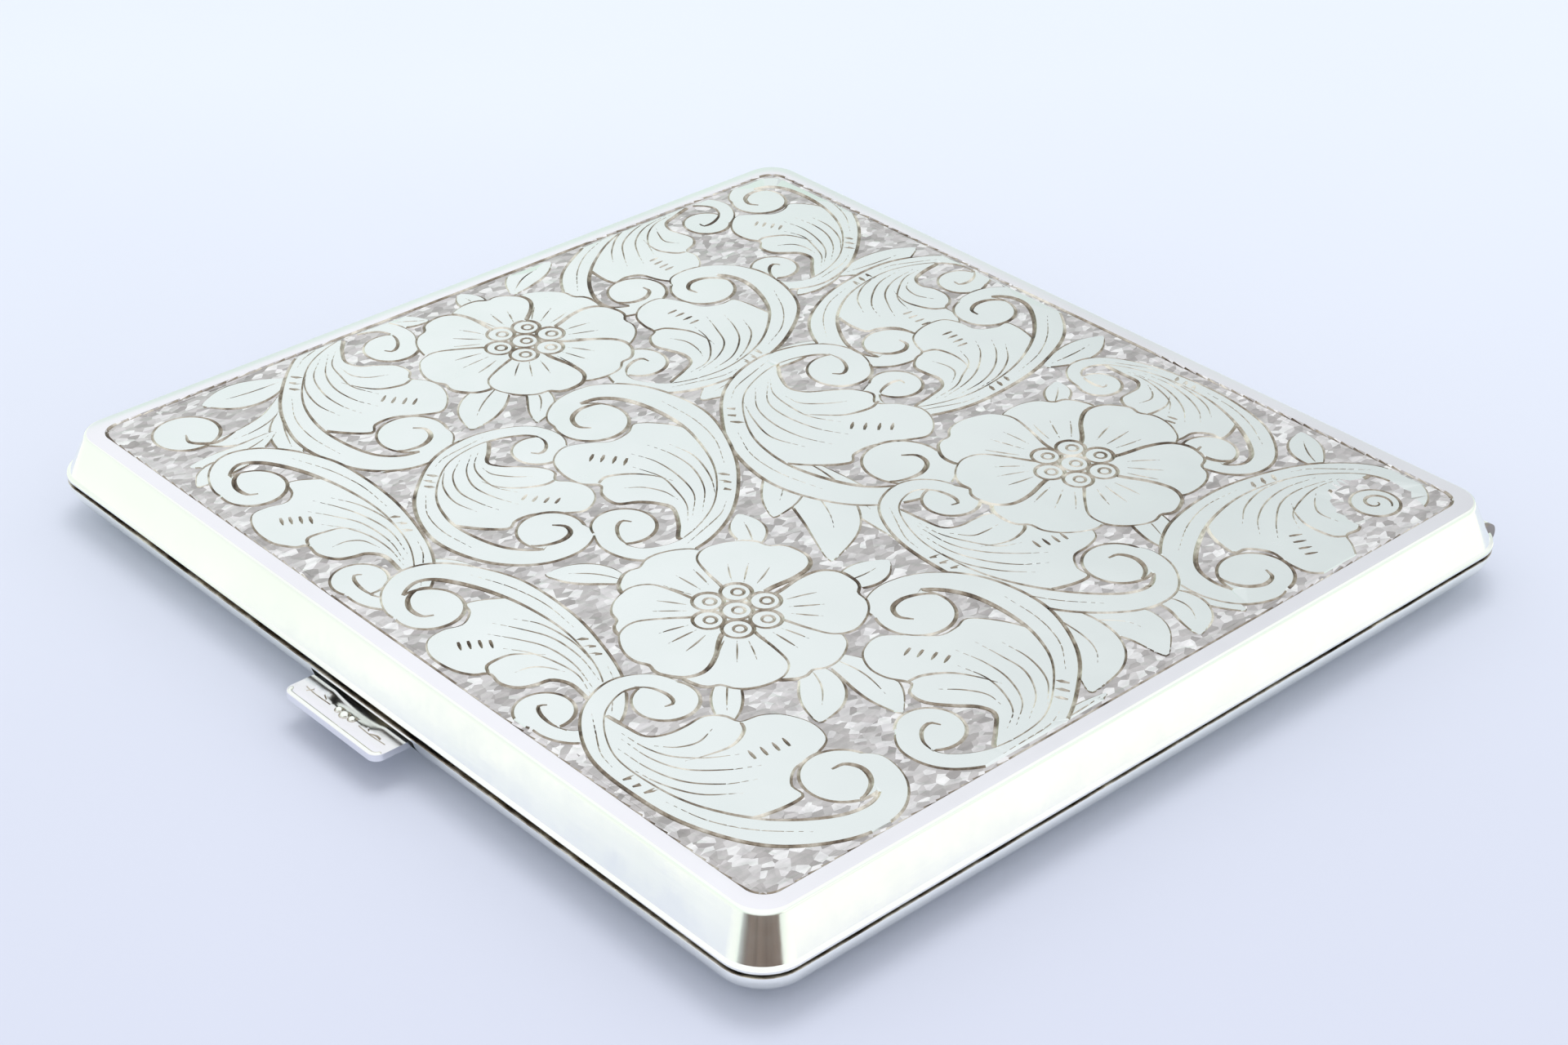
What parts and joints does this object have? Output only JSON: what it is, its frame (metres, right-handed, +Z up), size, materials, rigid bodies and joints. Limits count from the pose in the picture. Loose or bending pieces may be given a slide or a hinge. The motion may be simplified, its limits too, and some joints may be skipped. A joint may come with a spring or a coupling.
{
  "type": "business card case",
  "caption": "Slim hinged silver card case with a scroll-and-flower engraved lid, sprung thumb tab catch, long barrel hinge and gilt interior with elastic bands.",
  "frame": {"origin": "centre of the case's plan outline (without the thumb tab and the hinge barrel), on the flat face it rests on", "axes": "+X along the hinge to the right seen from the catch side, +Y from the catch towards the hinge, +Z up through the engraved lid"},
  "size_m": [0.092, 0.0886, 0.0082],
  "materials": {
    "silver": "polished and hand engraved silver",
    "gilt": "gilt wash on silver",
    "spring_steel": "tempered spring steel",
    "elastic": "woven cotton elastic"
  },
  "bodies": {
    "tray": {"tray_shell": "silver", "tray_bezel_left": "gilt", "tray_bezel_right": "gilt", "tray_bezel_front_left": "gilt", "tray_bezel_front_right": "gilt", "tray_hinge_bearer": "gilt", "tray_knuckle_1": "silver", "tray_knuckle_2": "silver", "tray_knuckle_3": "silver", "tray_knuckle_4": "silver", "tray_knuckle_5": "silver", "hinge_pin": "spring_steel", "hinge_plug_left": "silver", "hinge_plug_right": "silver", "spring_anchor_left": "gilt", "spring_anchor_right": "gilt", "spring_rivets": "spring_steel", "leaf_spring_left": "spring_steel", "leaf_spring_right": "spring_steel", "tray_band": "elastic", "tray_band_keepers": "gilt"},
    "lid": {"lid_shell": "silver", "lid_hinge_bearer": "gilt", "lid_knuckle_1": "silver", "lid_knuckle_2": "silver", "lid_knuckle_3": "silver", "lid_knuckle_4": "silver", "lid_strike": "gilt", "lid_band": "elastic", "lid_band_keepers": "gilt"},
    "catch": {"thumb_tab": "silver", "catch_nib": "gilt"}
  },
  "joints": [
    {"name": "lid_hinge", "type": "hinge", "parent": "tray", "child": "lid", "pos_m": [0, 0.042, 0.004], "axis": [-1, 0, 0], "range_deg": [0, 130], "deforming": ["catch_nib"]},
    {"name": "catch_press", "type": "slide", "parent": "tray", "child": "catch", "axis": [0, 1, 0], "range_m": [0, 0.0006], "stiffness_N_per_m": 1500, "deforming": ["leaf_spring_left", "leaf_spring_right"]}
  ]
}
